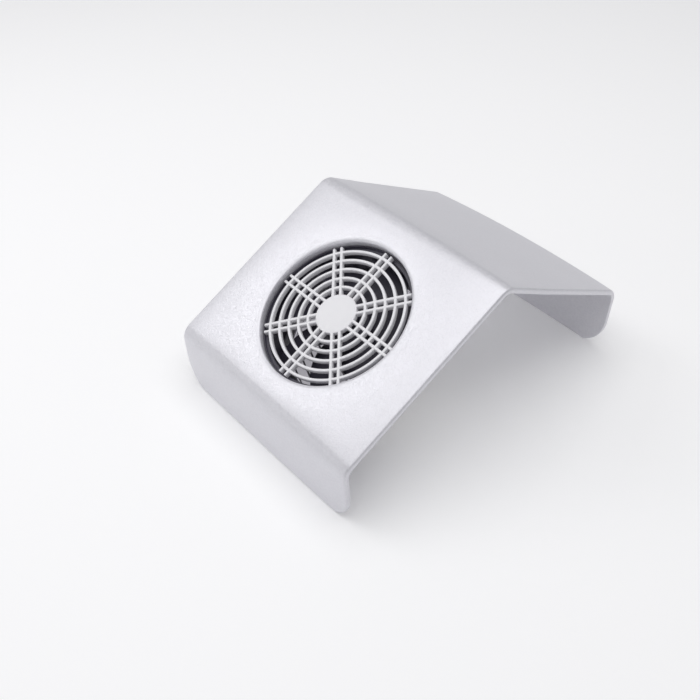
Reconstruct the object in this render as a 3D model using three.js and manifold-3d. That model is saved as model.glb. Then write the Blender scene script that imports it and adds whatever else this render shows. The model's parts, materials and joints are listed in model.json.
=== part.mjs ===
// Nail dust collector: a bent hand rest on two legs, with a round intake grille in its front slope.
// Under the grille hang an axial fan, the tray that clamps it, a louvred outlet and a cloth dust bag.
//
// Millimetres. +X runs from the front leg to the back leg, -Y is the near side, +Z is up.
// The origin is the centre of the footprint, on the table.
//
// Everything below the front slope is drawn in the deck frame: its origin is the centre of the
// grille on the slope's outer face, +X points up the slope, +Y to the far side and +Z out of the face.
import * as THREE from "three";
import { mergeVertices } from "three/addons/utils/BufferGeometryUtils.js";
import Module from "manifold-3d";

const wasm = await Module();
wasm.setup();

// ---------------------------------------------------------------- driving dimensions

const LENGTH = 270;
const WIDTH = 190;
const HEIGHT = 120;
const SHEET = 4;
const GAP = 0.3; // between pieces that touch

const BEND_RADIUS = 14;
const FRONT_SLOPE = THREE.MathUtils.degToRad(27.2);
const BACK_SLOPE = THREE.MathUtils.degToRad(28.4);
const RIDGE_X = 9.4;
const FRONT_FOOT_X = -134.6;
const BACK_FOOT_X = 128.4;
const LEG_CORNER = 24;
const NEAR_FRONT_CORNER = 17;
const DECK_FROM_FRONT_BEND = 72.7; // along the slope, from the end of the front bend

const WELL_RADIUS = 57.5;
const WELL_RIM = 3;
const WELL_DEPTH = 9.6;
const COLLAR_WALL = 2;

const GRILLE_TOP = -5.4;
const GRILLE_DEPTH = 4;
const BAR = 2.1;
const HUB_RADIUS = 15.6;
const RING_COUNT = 5;
const FIRST_RING = 21.8;
const RING_PITCH = 7.43;
const SPOKE_PAIRS = 8;
const SPOKE_SPACING = 5.8;
const SEAT = { inner: 54.2, ledge: 56.5, lip: 57.2, flange: 59.8 }; // radii of the ring that holds the grille
const SEAT_DEPTH = 1.6;

const GASKET = 2;
const FAN_SIZE = 120;
const FAN_DEPTH = 25;
const FAN_FLANGE = 4;
const FAN_BORE = 57.6;
const FAN_SCREW = 52.5; // half of the fan's square screw pattern
const MOTOR_RADIUS = 21;
const BEARING_BORE = 5.3;

const BLADES = 7;
const BLADE_TIP = 56.2;
const HUB_CUP = 20.8;
const BLADE_SWEEP = [66, 30]; // degrees round the axis, at the hub and at the tip
const IMPELLER_TURN = THREE.MathUtils.degToRad(8);

const TRAY_WALL = 2.5;
const TRAY_FLOOR = 2.2;
const TRAY_HALF = 64;
const BAY_EDGE = 84; // outer face of the wiring bay on the far side
const OUTLET_RADIUS = 52.5;
const SPIGOT = [56.5, 59];
const SPIGOT_DEPTH = 7.2;

const LOUVRE_PITCH = 7.9;
const LOUVRE_CHORD = 6.8;
const LOUVRE_TURN = THREE.MathUtils.degToRad(68); // from up the slope to the louvres' length
const LOUVRE_TILT = THREE.MathUtils.degToRad(28);

const SWITCH_AT = new THREE.Vector3(-8, BAY_EDGE, -24);
const ROCKER_SWING = THREE.MathUtils.degToRad(10); // to each side of the middle
const GLAND_AT = new THREE.Vector3(TRAY_HALF, 71.5, -29);
const BAY_BOSSES = [-44, 36].map((u) => [u, 75]);
const BAY_BOSS_END = -20;

const BAG_SKIN = 1.2;
const BAG_MOUTH = 60.6;
const BAG_FLOOR = 10.5;

// Heights in the deck frame that follow from the stack above.
const FLANGE_TOP = -WELL_DEPTH - GAP;
const GASKET_TOP = FLANGE_TOP - SEAT_DEPTH - GAP;
const FAN_TOP = GASKET_TOP - GASKET - GAP;
const FAN_BOTTOM = FAN_TOP - FAN_DEPTH;
const TRAY_TOP = -SHEET - 0.4;
const FLOOR_TOP = FAN_BOTTOM - 3;
const FLOOR_BOTTOM = FLOOR_TOP - TRAY_FLOOR;
const SPIGOT_END = FLOOR_BOTTOM - SPIGOT_DEPTH;
const SCREW_HEAD_TOP = FLOOR_BOTTOM - GAP;

// ---------------------------------------------------------------- materials

const plastic = (color, roughness) => new THREE.MeshStandardMaterial({ color, roughness, metalness: 0 });
const metal = (color, roughness) => new THREE.MeshStandardMaterial({ color, roughness, metalness: 1 });

const PEARL = plastic(0xe9e8ee, 0.35);
const GRILLE_WHITE = plastic(0xe2e1e6, 0.4);
const FAN_BLACK = plastic(0x26252b, 0.5);
const TRAY_GREY = plastic(0xd4d3da, 0.5);
const FOAM = plastic(0x3a3a3e, 0.95);
const LEAD_BLUE = plastic(0x2a4f8f, 0.55);
const LEAD_BROWN = plastic(0x5d3a26, 0.55);
const CLOTH = plastic(0xf0efec, 0.95);
const STEEL = metal(0xb9bbc0, 0.3);
const LAMINATION = metal(0x6d6f75, 0.5);
const COPPER = metal(0xb06a35, 0.35);
const BRASS = metal(0xc8a24a, 0.35);

// ---------------------------------------------------------------- solids

// A closed geometry as a manifold solid, for joining and cutting.
function toSolid(geometry) {
  const bare = geometry.index ? geometry.toNonIndexed() : geometry.clone();
  bare.deleteAttribute("normal");
  bare.deleteAttribute("uv");
  const merged = mergeVertices(bare, 1e-4);
  const index = merged.index.array;
  const triangles = [];
  for (let i = 0; i < index.length; i += 3) {
    const [a, b, c] = [index[i], index[i + 1], index[i + 2]];
    if (a !== b && b !== c && c !== a) triangles.push(a, b, c);
  }
  return new wasm.Manifold(
    new wasm.Mesh({
      numProp: 3,
      vertProperties: merged.attributes.position.array,
      triVerts: new Uint32Array(triangles),
    }),
  );
}

function toGeometry(solid) {
  const mesh = solid.getMesh();
  const geometry = new THREE.BufferGeometry();
  geometry.setAttribute("position", new THREE.BufferAttribute(mesh.vertProperties, 3));
  geometry.setIndex(new THREE.BufferAttribute(mesh.triVerts, 1));
  const flat = geometry.toNonIndexed();
  flat.computeVertexNormals();
  return flat;
}

const join = (first, ...others) => others.reduce((sum, other) => sum.add(other), first);
const cut = (first, ...others) => others.reduce((rest, other) => rest.subtract(other), first);

// An upright cylinder from z = low to z = high, centred on (x, y).
function cylinder(radius, low, high, segments = 40, x = 0, y = 0) {
  const geometry = new THREE.CylinderGeometry(radius, radius, high - low, segments);
  return toSolid(geometry.rotateX(Math.PI / 2).translate(x, y, (low + high) / 2));
}

function block(x0, x1, y0, y1, z0, z1) {
  const geometry = new THREE.BoxGeometry(x1 - x0, y1 - y0, z1 - z0);
  return toSolid(geometry.translate((x0 + x1) / 2, (y0 + y1) / 2, (z0 + z1) / 2));
}

// A body turned about the Z axis from a closed outline of [radius, z] points.
function turned(outline, segments = 40) {
  const area = outline.reduce((sum, [r, z], i) => {
    const [nextR, nextZ] = outline[(i + 1) % outline.length];
    return sum + r * nextZ - nextR * z;
  }, 0);
  const ordered = area > 0 ? outline : [...outline].reverse();
  const closed = [...ordered, ordered[0]].map(([r, z]) => new THREE.Vector2(r, z));
  return toSolid(new THREE.LatheGeometry(closed, segments).rotateX(Math.PI / 2));
}

const tube = (inner, outer, low, high, segments = 40) =>
  turned([[inner, low], [outer, low], [outer, high], [inner, high]], segments);

function extrude(shape, depth, curveSegments) {
  return new THREE.ExtrudeGeometry(shape, { depth, bevelEnabled: false, curveSegments });
}

function prism(shape, low, high, curveSegments = 6) {
  return toSolid(extrude(shape, high - low, curveSegments).translate(0, 0, low));
}

function roundedRectangle(x0, x1, y0, y1, radius) {
  const shape = new THREE.Shape();
  shape.absarc(x1 - radius, y1 - radius, radius, 0, Math.PI / 2);
  shape.absarc(x0 + radius, y1 - radius, radius, Math.PI / 2, Math.PI);
  shape.absarc(x0 + radius, y0 + radius, radius, Math.PI, 1.5 * Math.PI);
  shape.absarc(x1 - radius, y0 + radius, radius, 1.5 * Math.PI, 2 * Math.PI);
  return shape;
}

function hexagon(radius) {
  const corners = Array.from({ length: 6 }, (_, i) => {
    const angle = (i * Math.PI) / 3;
    return new THREE.Vector2(radius * Math.cos(angle), radius * Math.sin(angle));
  });
  return new THREE.Shape(corners);
}

// A closed skin through rings of points; a first or last ring of equal points is a pole.
function skin(rings) {
  const count = rings[0].length;
  const positions = rings.flat().flatMap((p) => [p.x, p.y, p.z]);
  const index = [];
  for (let i = 0; i + 1 < rings.length; i++) {
    for (let j = 0; j < count; j++) {
      const a = i * count + j;
      const b = i * count + ((j + 1) % count);
      index.push(a, b, a + count, b, b + count, a + count);
    }
  }
  const geometry = new THREE.BufferGeometry();
  geometry.setAttribute("position", new THREE.Float32BufferAttribute(positions, 3));
  geometry.setIndex(index);
  return toSolid(geometry);
}

const turnZ = (solid, angle) => solid.rotate([0, 0, THREE.MathUtils.radToDeg(angle)]);
const corners = (half) => [[-1, -1], [1, -1], [1, 1], [-1, 1]].map(([x, y]) => [x * half, y * half]);

// ---------------------------------------------------------------- assembly

const root = new THREE.Group();
const deck = new THREE.Group();
root.add(deck);

function place(name, solid, material, parent = deck) {
  const mesh = new THREE.Mesh(toGeometry(solid), material);
  mesh.name = name;
  parent.add(mesh);
  return mesh;
}

// ---------------------------------------------------------------- top shell

// Centres of the three bends, in the XZ plane.
const ridge = new THREE.Vector2(RIDGE_X, HEIGHT - BEND_RADIUS);
const bendX = LENGTH / 2 - BEND_RADIUS;
const bends = [
  new THREE.Vector2(-bendX, ridge.y - (RIDGE_X + bendX) * Math.tan(FRONT_SLOPE)),
  ridge,
  new THREE.Vector2(bendX, ridge.y - (bendX - RIDGE_X) * Math.tan(BACK_SLOPE)),
];

// The direction of the line from a foot that touches a bend's circle; side is +1 or -1.
function legDirection(footX, bend, side) {
  const toBend = new THREE.Vector2(bend.x - footX, bend.y);
  return toBend.angle() + side * Math.asin(BEND_RADIUS / toBend.length());
}

const frontLeg = legDirection(FRONT_FOOT_X, bends[0], 1);
const backLeg = legDirection(BACK_FOOT_X, bends[2], -1);

// Outward normals of the four flats, front leg first.
const normals = [
  frontLeg + Math.PI / 2,
  FRONT_SLOPE + Math.PI / 2,
  Math.PI / 2 - BACK_SLOPE,
  backLeg - Math.PI / 2,
];

// Where a leg's surface reaches below the table, so that the footprint can trim it level.
function legEnd(footX, direction, inset) {
  const below = -6 / Math.sin(direction);
  const across = inset / Math.sin(direction);
  return [footX + Math.sign(-footX) * across + below * Math.cos(direction), -6];
}

function sheetSection() {
  const section = new THREE.Shape();
  section.moveTo(...legEnd(FRONT_FOOT_X, frontLeg, SHEET));
  section.lineTo(...legEnd(FRONT_FOOT_X, frontLeg, 0));
  bends.forEach((c, i) => section.absarc(c.x, c.y, BEND_RADIUS, normals[i], normals[i + 1], true));
  section.lineTo(...legEnd(BACK_FOOT_X, backLeg, 0));
  section.lineTo(...legEnd(BACK_FOOT_X, backLeg, SHEET));
  for (const i of [2, 1, 0]) {
    section.absarc(bends[i].x, bends[i].y, BEND_RADIUS - SHEET, normals[i + 1], normals[i], false);
  }
  return section;
}

// The deck frame sits on the front slope's outer face.
const slope = new THREE.Vector2(Math.cos(FRONT_SLOPE), Math.sin(FRONT_SLOPE));
const deckX = bends[0].x - BEND_RADIUS * slope.y + DECK_FROM_FRONT_BEND * slope.x;
const deckZ = bends[0].y + BEND_RADIUS * slope.x + DECK_FROM_FRONT_BEND * slope.y;
deck.position.set(deckX, 0, deckZ);
deck.rotation.y = -FRONT_SLOPE;

// A solid drawn in the deck frame, moved into the part's frame.
const fromDeck = (solid) =>
  solid.rotate([0, THREE.MathUtils.radToDeg(-FRONT_SLOPE), 0]).translate([deckX, 0, deckZ]);

function wellCutter() {
  const rim = Array.from({ length: 4 }, (_, i) => {
    const angle = (i * Math.PI) / 6;
    return [WELL_RADIUS + WELL_RIM * (1 - Math.cos(angle)), WELL_RIM * (Math.sin(angle) - 1)];
  });
  const [widest] = rim.at(-1);
  return turned([[0, -WELL_DEPTH - 5], [WELL_RADIUS, -WELL_DEPTH - 5], ...rim, [widest, 5], [0, 5]], 48);
}

// Seen along X, a leg ends in large round corners; the block runs from low to high along X.
function legOutline(nearCorner, low, high) {
  const half = WIDTH / 2;
  const shape = new THREE.Shape();
  shape.absarc(-half + nearCorner, nearCorner, nearCorner, Math.PI, 1.5 * Math.PI);
  shape.absarc(half - LEG_CORNER, LEG_CORNER, LEG_CORNER, 1.5 * Math.PI, 2 * Math.PI);
  shape.lineTo(half, HEIGHT + 1);
  shape.lineTo(-half, HEIGHT + 1);
  const [x, y, z] = [new THREE.Vector3(1, 0, 0), new THREE.Vector3(0, 1, 0), new THREE.Vector3(0, 0, 1)];
  const upright = extrude(shape, high - low, 8).applyMatrix4(new THREE.Matrix4().makeBasis(y, z, x));
  return toSolid(upright.translate(low, 0, 0));
}

function topShell() {
  const sheet = extrude(sheetSection(), WIDTH, 6).rotateX(Math.PI / 2).translate(0, WIDTH / 2, 0);
  const outline = join(
    legOutline(NEAR_FRONT_CORNER, -LENGTH / 2 - 10, 0),
    legOutline(LEG_CORNER, 0, LENGTH / 2 + 10),
  );

  const collar = cylinder(WELL_RADIUS + COLLAR_WALL, -WELL_DEPTH, -1, 48);
  const bosses = corners(FAN_SCREW).map(([u, v]) => cylinder(4.8, FAN_TOP + GAP, -1, 12, u, v));
  const holes = corners(FAN_SCREW).map(([u, v]) => cylinder(2.2, FAN_TOP, -6.2, 8, u, v));
  const bayBosses = BAY_BOSSES.map(([u, v]) => cylinder(4.5, BAY_BOSS_END, -1, 12, u, v));
  const bayHoles = BAY_BOSSES.map(([u, v]) => cylinder(2.2, BAY_BOSS_END - 1, -10, 8, u, v));

  const plain = toSolid(sheet).intersect(outline);
  const added = fromDeck(join(collar, ...bosses, ...bayBosses));
  const removed = fromDeck(join(wellCutter(), ...holes, ...bayHoles));
  return cut(join(plain, added), removed);
}

place("top_shell", topShell(), PEARL, root);

// ---------------------------------------------------------------- intake grille

function intakeGrille() {
  const low = GRILLE_TOP - GRILLE_DEPTH;
  const hub = cylinder(HUB_RADIUS, low, GRILLE_TOP, 24);
  const rings = Array.from({ length: RING_COUNT }, (_, i) => {
    const middle = FIRST_RING + i * RING_PITCH;
    return tube(middle - BAR / 2, middle + BAR / 2, low, GRILLE_TOP, i < 2 ? 24 : 32);
  });
  const spokes = [];
  for (let i = 0; i < SPOKE_PAIRS / 2; i++) {
    for (const side of [-1, 1]) {
      const middle = (side * SPOKE_SPACING) / 2;
      const reach = SEAT.ledge - 2 * GAP;
      const bar = block(-reach, reach, middle - BAR / 2, middle + BAR / 2, low, GRILLE_TOP);
      spokes.push(turnZ(bar, (i * Math.PI) / 4));
    }
  }
  return join(hub, ...rings, ...spokes);
}

// The spokes' ends lie on this ring's ledge, and its flange is held between the collar and the fan's gasket.
function grilleSeat() {
  const low = FLANGE_TOP - SEAT_DEPTH;
  const ledge = GRILLE_TOP - GRILLE_DEPTH - GAP;
  const top = GRILLE_TOP - 0.2;
  return turned([
    [SEAT.inner, low],
    [SEAT.flange, low],
    [SEAT.flange, FLANGE_TOP],
    [SEAT.lip, FLANGE_TOP],
    [SEAT.lip, top],
    [SEAT.ledge, top],
    [SEAT.ledge, ledge],
    [SEAT.inner, ledge],
  ], 40);
}

place("intake_grille", intakeGrille(), GRILLE_WHITE);
place("grille_seat", grilleSeat(), FAN_BLACK);

// ---------------------------------------------------------------- fan

function fanGasket() {
  const square = block(-58.5, 58.5, -58.5, 58.5, GASKET_TOP - GASKET, GASKET_TOP);
  const clipped = square.intersect(cylinder(68, GASKET_TOP - GASKET - 1, GASKET_TOP + 1));
  return cut(clipped, cylinder(WELL_RADIUS - 0.2, GASKET_TOP - GASKET - 1, GASKET_TOP + 1));
}

place("fan_gasket", fanGasket(), FOAM);

const TUBE_TOP = FAN_BOTTOM + 14.5;
const MOTOR_FLOOR = FAN_BOTTOM + 2.2;

function fanFrame() {
  const half = FAN_SIZE / 2;
  const square = roundedRectangle(-half, half, -half, half, 5);
  const body = join(
    prism(square, FAN_TOP - FAN_FLANGE, FAN_TOP, 3),
    prism(square, FAN_BOTTOM, FAN_BOTTOM + FAN_FLANGE, 3),
    cylinder(half - 0.3, FAN_BOTTOM + 1, FAN_TOP - 1),
  );
  const bore = cylinder(FAN_BORE, FAN_BOTTOM - 1, FAN_TOP + 1);
  const holes = corners(FAN_SCREW).map(([u, v]) => cylinder(2.3, FAN_BOTTOM - 1, FAN_TOP + 1, 8, u, v));
  const struts = [0, 1, 2, 3].map((i) => {
    const strut = block(MOTOR_RADIUS - 2, half - 1.5, -2, 2, FAN_BOTTOM, FAN_BOTTOM + 3);
    return turnZ(strut, Math.PI / 4 + (i * Math.PI) / 2);
  });
  const motorBase = turned([
    [0, FAN_BOTTOM],
    [MOTOR_RADIUS, FAN_BOTTOM],
    [MOTOR_RADIUS, MOTOR_FLOOR],
    [7.5, MOTOR_FLOOR],
    [7.5, TUBE_TOP],
    [BEARING_BORE, TUBE_TOP],
    [BEARING_BORE, FAN_BOTTOM + 1],
    [0, FAN_BOTTOM + 1],
  ], 40);
  return join(cut(body, bore, ...holes), motorBase, ...struts);
}

place("fan_frame", fanFrame(), FAN_BLACK);

// One blade: a warped plate whose angle falls with its height, so that it drives air downwards.
function blade() {
  const spanSteps = 3;
  const chordSteps = 5;
  const rows = [];
  for (let i = 0; i <= spanSteps; i++) {
    const out = i / spanSteps;
    const radius = THREE.MathUtils.lerp(HUB_CUP - 1, BLADE_TIP, out);
    const sweep = THREE.MathUtils.degToRad(THREE.MathUtils.lerp(...BLADE_SWEEP, out));
    const drop = THREE.MathUtils.lerp(15.2, 12.4, out);
    const lead = THREE.MathUtils.degToRad(14 * out);
    const upper = [];
    const lower = [];
    for (let j = 0; j <= chordSteps; j++) {
      const back = j / chordSteps;
      const angle = lead - sweep * back;
      const camber = 1.6 * Math.sin(Math.PI * back);
      const thick = 0.45 + 0.6 * Math.sin(Math.PI * Math.sqrt(back));
      const z = FAN_TOP - 4.2 - drop * back - camber;
      const [x, y] = [radius * Math.cos(angle), radius * Math.sin(angle)];
      upper.push(new THREE.Vector3(x, y, z + thick));
      lower.unshift(new THREE.Vector3(x, y, z - thick));
    }
    rows.push([...upper, ...lower]);
  }
  const pole = (row) => {
    const middle = row.reduce((sum, p) => sum.add(p), new THREE.Vector3()).divideScalar(row.length);
    return row.map(() => middle);
  };
  return skin([pole(rows[0]), ...rows, pole(rows[spanSteps])]);
}

const HUB_TOP = FAN_TOP - 2.6;
const HUB_ROOF = HUB_TOP - 1.8;
const SHAFT_RADIUS = 1.5;

function impeller() {
  const cup = turned([
    [0, HUB_TOP],
    [HUB_CUP - 1, HUB_TOP],
    [HUB_CUP, HUB_TOP - 1],
    [HUB_CUP, MOTOR_FLOOR + 1.6],
    [HUB_CUP - 1.9, MOTOR_FLOOR + 1.6],
    [HUB_CUP - 1.9, HUB_ROOF],
    [4, HUB_ROOF],
    [4, HUB_ROOF - 4],
    [SHAFT_RADIUS + GAP, HUB_ROOF - 4],
    [SHAFT_RADIUS + GAP, HUB_ROOF],
    [0, HUB_ROOF],
  ]);
  const blades = Array.from({ length: BLADES }, (_, i) => turnZ(blade(), (i * 2 * Math.PI) / BLADES));
  const rotorRoom = cylinder(HUB_CUP - 1, FAN_BOTTOM, FAN_TOP);
  return turnZ(join(cup, cut(join(...blades), rotorRoom)), IMPELLER_TURN);
}

place("impeller", impeller(), FAN_BLACK);
place("rotor_ring", tube(17, HUB_CUP - 2.2, MOTOR_FLOOR + 2, HUB_ROOF - 3, 36), LAMINATION);
place("motor_shaft", cylinder(SHAFT_RADIUS, FAN_BOTTOM + 1.3, HUB_ROOF - GAP, 16), STEEL);
place("shaft_clip", tube(SHAFT_RADIUS + GAP, 3.2, FAN_BOTTOM + 1.5, FAN_BOTTOM + 2.1, 16), STEEL);

const bearing = (low) => tube(SHAFT_RADIUS + GAP, BEARING_BORE - GAP, low, low + 3, 16);
place("lower_bearing", bearing(FAN_BOTTOM + 2.7), STEEL);
place("upper_bearing", bearing(TUBE_TOP - 3.5), STEEL);

// ---------------------------------------------------------------- motor

const CORE = { low: FAN_BOTTOM + 5.7, high: FAN_BOTTOM + 12.7, bore: 7.8, rim: 9.4, shoe: 13.5, face: 16.2 };
const ARM_HALF = 3;

function statorCore() {
  const arms = [0, 1, 2, 3].map((i) => {
    const arm = block(CORE.rim - 0.8, CORE.shoe + 1, -ARM_HALF, ARM_HALF, CORE.low, CORE.high);
    const reach = THREE.MathUtils.degToRad(36);
    const face = new THREE.Shape();
    face.absarc(0, 0, CORE.face, -reach, reach);
    face.absarc(0, 0, CORE.shoe, reach, -reach, true);
    return turnZ(join(arm, prism(face, CORE.low, CORE.high, 4)), (i * Math.PI) / 2);
  });
  return join(tube(CORE.bore, CORE.rim, CORE.low, CORE.high, 24), ...arms);
}

place("stator_core", statorCore(), LAMINATION);

for (let i = 0; i < 4; i++) {
  const [inner, outer] = [ARM_HALF + GAP, ARM_HALF + 2.2];
  const winding = block(CORE.rim + GAP, 12.1, -outer, outer, CORE.low - 1.9, CORE.high + 1.9);
  const core = block(CORE.rim - 2, 14, -inner, inner, CORE.low - GAP, CORE.high + GAP);
  place("stator_coil_" + (i + 1), turnZ(cut(winding, core), (i * Math.PI) / 2), COPPER);
}

// ---------------------------------------------------------------- fan tray

function fanTray() {
  const wall = (inset, low) => {
    const near = -TRAY_HALF + inset;
    const shape = roundedRectangle(near, -near, near, BAY_EDGE - inset, 7 - inset);
    return prism(shape, low, inset ? TRAY_TOP + 1 : TRAY_TOP, 4);
  };
  const posts = corners(FAN_SCREW).map(([u, v]) => cylinder(4.5, FLOOR_TOP - 1, FAN_BOTTOM - GAP, 12, u, v));
  const bayPosts = BAY_BOSSES.map(([u, v]) => cylinder(4.5, FLOOR_TOP - 1, BAY_BOSS_END - GAP, 12, u, v));
  const holes = [
    ...[...corners(FAN_SCREW), ...BAY_BOSSES].map(([u, v]) => cylinder(2.2, FLOOR_BOTTOM - 1, -10, 8, u, v)),
    ...guardScrewPlaces().map(([u, v]) => cylinder(1.2, FLOOR_BOTTOM - 1, FLOOR_TOP + 1, 6, u, v)),
  ];
  const outlet = cylinder(OUTLET_RADIUS, FLOOR_BOTTOM - 1, FLOOR_TOP + 1);
  const spigot = tube(SPIGOT[0], SPIGOT[1], SPIGOT_END, FLOOR_BOTTOM + 1);
  const { x, z } = SWITCH_AT;
  const switchHole = block(x - 9.6, x + 9.6, BAY_EDGE - 5, BAY_EDGE + 1, z - 6.5, z + 6.5);
  const glandHole = alongU(cylinder(5, -10, 10, 16));
  const bin = cut(wall(0, FLOOR_BOTTOM), wall(TRAY_WALL, FLOOR_TOP));
  return cut(join(bin, spigot, ...posts, ...bayPosts), outlet, switchHole, glandHole, ...holes);
}

// ---------------------------------------------------------------- outlet guard

const GUARD_RING = [51.8, SPIGOT[0] - GAP - 0.1];
const GUARD_TOP = FLOOR_BOTTOM - GAP;
const GUARD_DEPTH = 3.4;

function guardScrewPlaces() {
  const radius = (GUARD_RING[0] + GUARD_RING[1]) / 2;
  return [0, 1, 2, 3].map((i) => {
    const angle = Math.PI / 4 + (i * Math.PI) / 2;
    return [radius * Math.cos(angle), radius * Math.sin(angle)];
  });
}

function outletGuard() {
  const [inner, outer] = GUARD_RING;
  const low = GUARD_TOP - GUARD_DEPTH;
  const ring = tube(inner, outer, low, GUARD_TOP);
  const count = Math.floor(inner / LOUVRE_PITCH);
  const louvres = [];
  for (let i = -count; i <= count; i++) {
    const slat = new THREE.BoxGeometry(2 * inner, LOUVRE_CHORD, 1.2);
    slat.rotateX(LOUVRE_TILT).translate(0, i * LOUVRE_PITCH, low + GUARD_DEPTH / 2);
    louvres.push(turnZ(toSolid(slat), LOUVRE_TURN));
  }
  const inside = cylinder(inner + 0.8, low, GUARD_TOP);
  const holes = guardScrewPlaces().map(([u, v]) => cylinder(1.2, low - 1, GUARD_TOP + 1, 6, u, v));
  return cut(join(ring, join(...louvres).intersect(inside)), ...holes);
}

// A solid drawn along Z about the origin, laid along the gland's axis.
function alongU(solid) {
  return solid.rotate([0, 90, 0]).translate(GLAND_AT.toArray());
}

place("fan_tray", fanTray(), TRAY_GREY);
place("outlet_guard", outletGuard(), TRAY_GREY);

// ---------------------------------------------------------------- screws

// A pan-head screw that points up, its head's top face at z = seat.
function screw(headRadius, headDepth, shankRadius, seat, length, [u, v]) {
  const outline = [
    [0, seat - headDepth],
    [headRadius * 0.8, seat - headDepth],
    [headRadius, seat - headDepth * 0.6],
    [headRadius, seat],
    [shankRadius, seat],
    [shankRadius, seat + length - shankRadius],
    [0, seat + length],
  ];
  return turned(outline, 12).translate([u, v, 0]);
}

function placeScrews(name, places, ...size) {
  places.forEach((at, i) => place(name + "_" + (i + 1), screw(...size, at), STEEL));
}

placeScrews("case_screw", corners(FAN_SCREW), 3.8, 2.4, 1.9, SCREW_HEAD_TOP, 37.5);
placeScrews("bay_screw", BAY_BOSSES, 3.8, 2.4, 1.9, SCREW_HEAD_TOP, 33);
placeScrews("guard_screw", guardScrewPlaces(), 1.9, 1.3, 0.9, GUARD_TOP - GUARD_DEPTH - GAP, 6.2);

// ---------------------------------------------------------------- switch

const ROCKER_PIVOT = new THREE.Vector3(SWITCH_AT.x, BAY_EDGE - 1.5, SWITCH_AT.z);

function switchBody() {
  const { x, y, z } = SWITCH_AT;
  const bezel = block(x - 10.8, x + 10.8, y + GAP, y + 2.3, z - 7.6, z + 7.6);
  const housing = block(x - 9.2, x + 9.2, y - 15, y + 1, z - 6.1, z + 6.1);
  const pocket = block(x - 8.6, x + 8.6, y - 8, y + 3, z - 4.9, z + 4.9);
  return cut(join(bezel, housing), pocket);
}

// Drawn about its pivot in the XY plane with its dished face towards +Y, then tipped to "off".
function switchRocker() {
  const half = 7.5;
  const outline = new THREE.Shape();
  outline.moveTo(-half, 5.8);
  outline.lineTo(0, 4.5);
  outline.lineTo(half, 5.8);
  outline.lineTo(half, 0);
  outline.absarc(0, 0, 4, 0, -Math.PI, true);
  outline.lineTo(-half, 0);
  return turnZ(prism(outline, -4.5, 4.5, 8), -ROCKER_SWING).translate(ROCKER_PIVOT.toArray());
}

place("switch_body", switchBody(), FAN_BLACK);
place("switch_rocker", switchRocker(), FAN_BLACK);

const TERMINALS = [5, -5].map((offset) => SWITCH_AT.x + offset);
TERMINALS.forEach((u, i) => {
  const { y, z } = SWITCH_AT;
  place("switch_terminal_" + (i + 1), block(u - 0.4, u + 0.4, y - 20.5, y - 15.3, z - 2.4, z + 2.4), BRASS);
});

// ---------------------------------------------------------------- cord gland and leads

const GLAND_THREAD = 4.6;
const GLAND_BORE = 3;

function cordGland() {
  const sleeve = turned([
    [GLAND_BORE, -11],
    [GLAND_THREAD, -11],
    [GLAND_THREAD, 3],
    [6.2, 4.5],
    [4.4, 15],
    [GLAND_BORE, 15],
  ], 16);
  const bore = cylinder(GLAND_BORE, -12, 16, 16);
  return alongU(join(sleeve, cut(prism(hexagon(7.8), GAP, 4.6), bore)));
}

place("cord_gland", cordGland(), FAN_BLACK);

const nutFace = -TRAY_WALL - GAP;
const glandNut = cut(prism(hexagon(7.8), nutFace - 4.2, nutFace), cylinder(GLAND_THREAD + GAP, -9, 0, 16));
place("gland_nut", alongU(glandNut), FAN_BLACK);

const FAN_SIDE = FAN_SIZE / 2;
const FAN_TERMINAL = { u0: 18, u1: 30, near: FAN_SIDE + GAP, far: FAN_SIDE + 5.3, low: -38, high: -30 };

function fanTerminal() {
  const { u0, u1, near, far, low, high } = FAN_TERMINAL;
  const middle = (u0 + u1) / 2;
  const housing = block(u0, u1, near, far, low, high);
  return cut(housing, block(middle - 1, middle + 1, far - 2, far + 1, low - 1, high + 1));
}

place("fan_terminal", fanTerminal(), FAN_BLACK);

function lead(points) {
  const path = new THREE.CatmullRomCurve3(points.map((p) => new THREE.Vector3(...p)));
  const section = new THREE.Shape();
  section.absarc(0, 0, 1, 0, 2 * Math.PI);
  return toSolid(new THREE.ExtrudeGeometry(section, { steps: 14, curveSegments: 4, extrudePath: path }));
}

const switchEdge = SWITCH_AT.y - 18;
const glandEnd = GLAND_AT.x - 11 - GAP - 0.2;
place("lead_live", lead([
  [glandEnd, GLAND_AT.y + 1.6, GLAND_AT.z + 1],
  [45, 69.5, -27],
  [36, 66.4, -26],
  [16, 67, -23],
  [TERMINALS[0] + 1.3, switchEdge, -24],
]), LEAD_BROWN);
place("lead_switched", lead([
  [TERMINALS[1] - 1.3, switchEdge, -24],
  [-19, 66.4, -28],
  [-16, 66.6, -36],
  [2, 66, -38],
  [FAN_TERMINAL.u0 - 0.9, 63, -34],
]), LEAD_BROWN);
place("lead_neutral", lead([
  [glandEnd, GLAND_AT.y - 1.6, GLAND_AT.z - 1],
  [45, 67.5, -33],
  [38, 64.6, -34],
  [FAN_TERMINAL.u1 + 0.9, 63, -34],
]), LEAD_BLUE);

// ---------------------------------------------------------------- dust bag

const HEM_RADIUS = [SPIGOT[1] + 0.5, 62.3];
const HEM_LOW = SPIGOT_END + 0.4;
const BAG_TOP = HEM_LOW - 1.2; // clear of the hem where the bag's wall leans out
place("bag_hem", tube(HEM_RADIUS[0], HEM_RADIUS[1], HEM_LOW, FLOOR_BOTTOM - 1), CLOTH);

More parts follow.
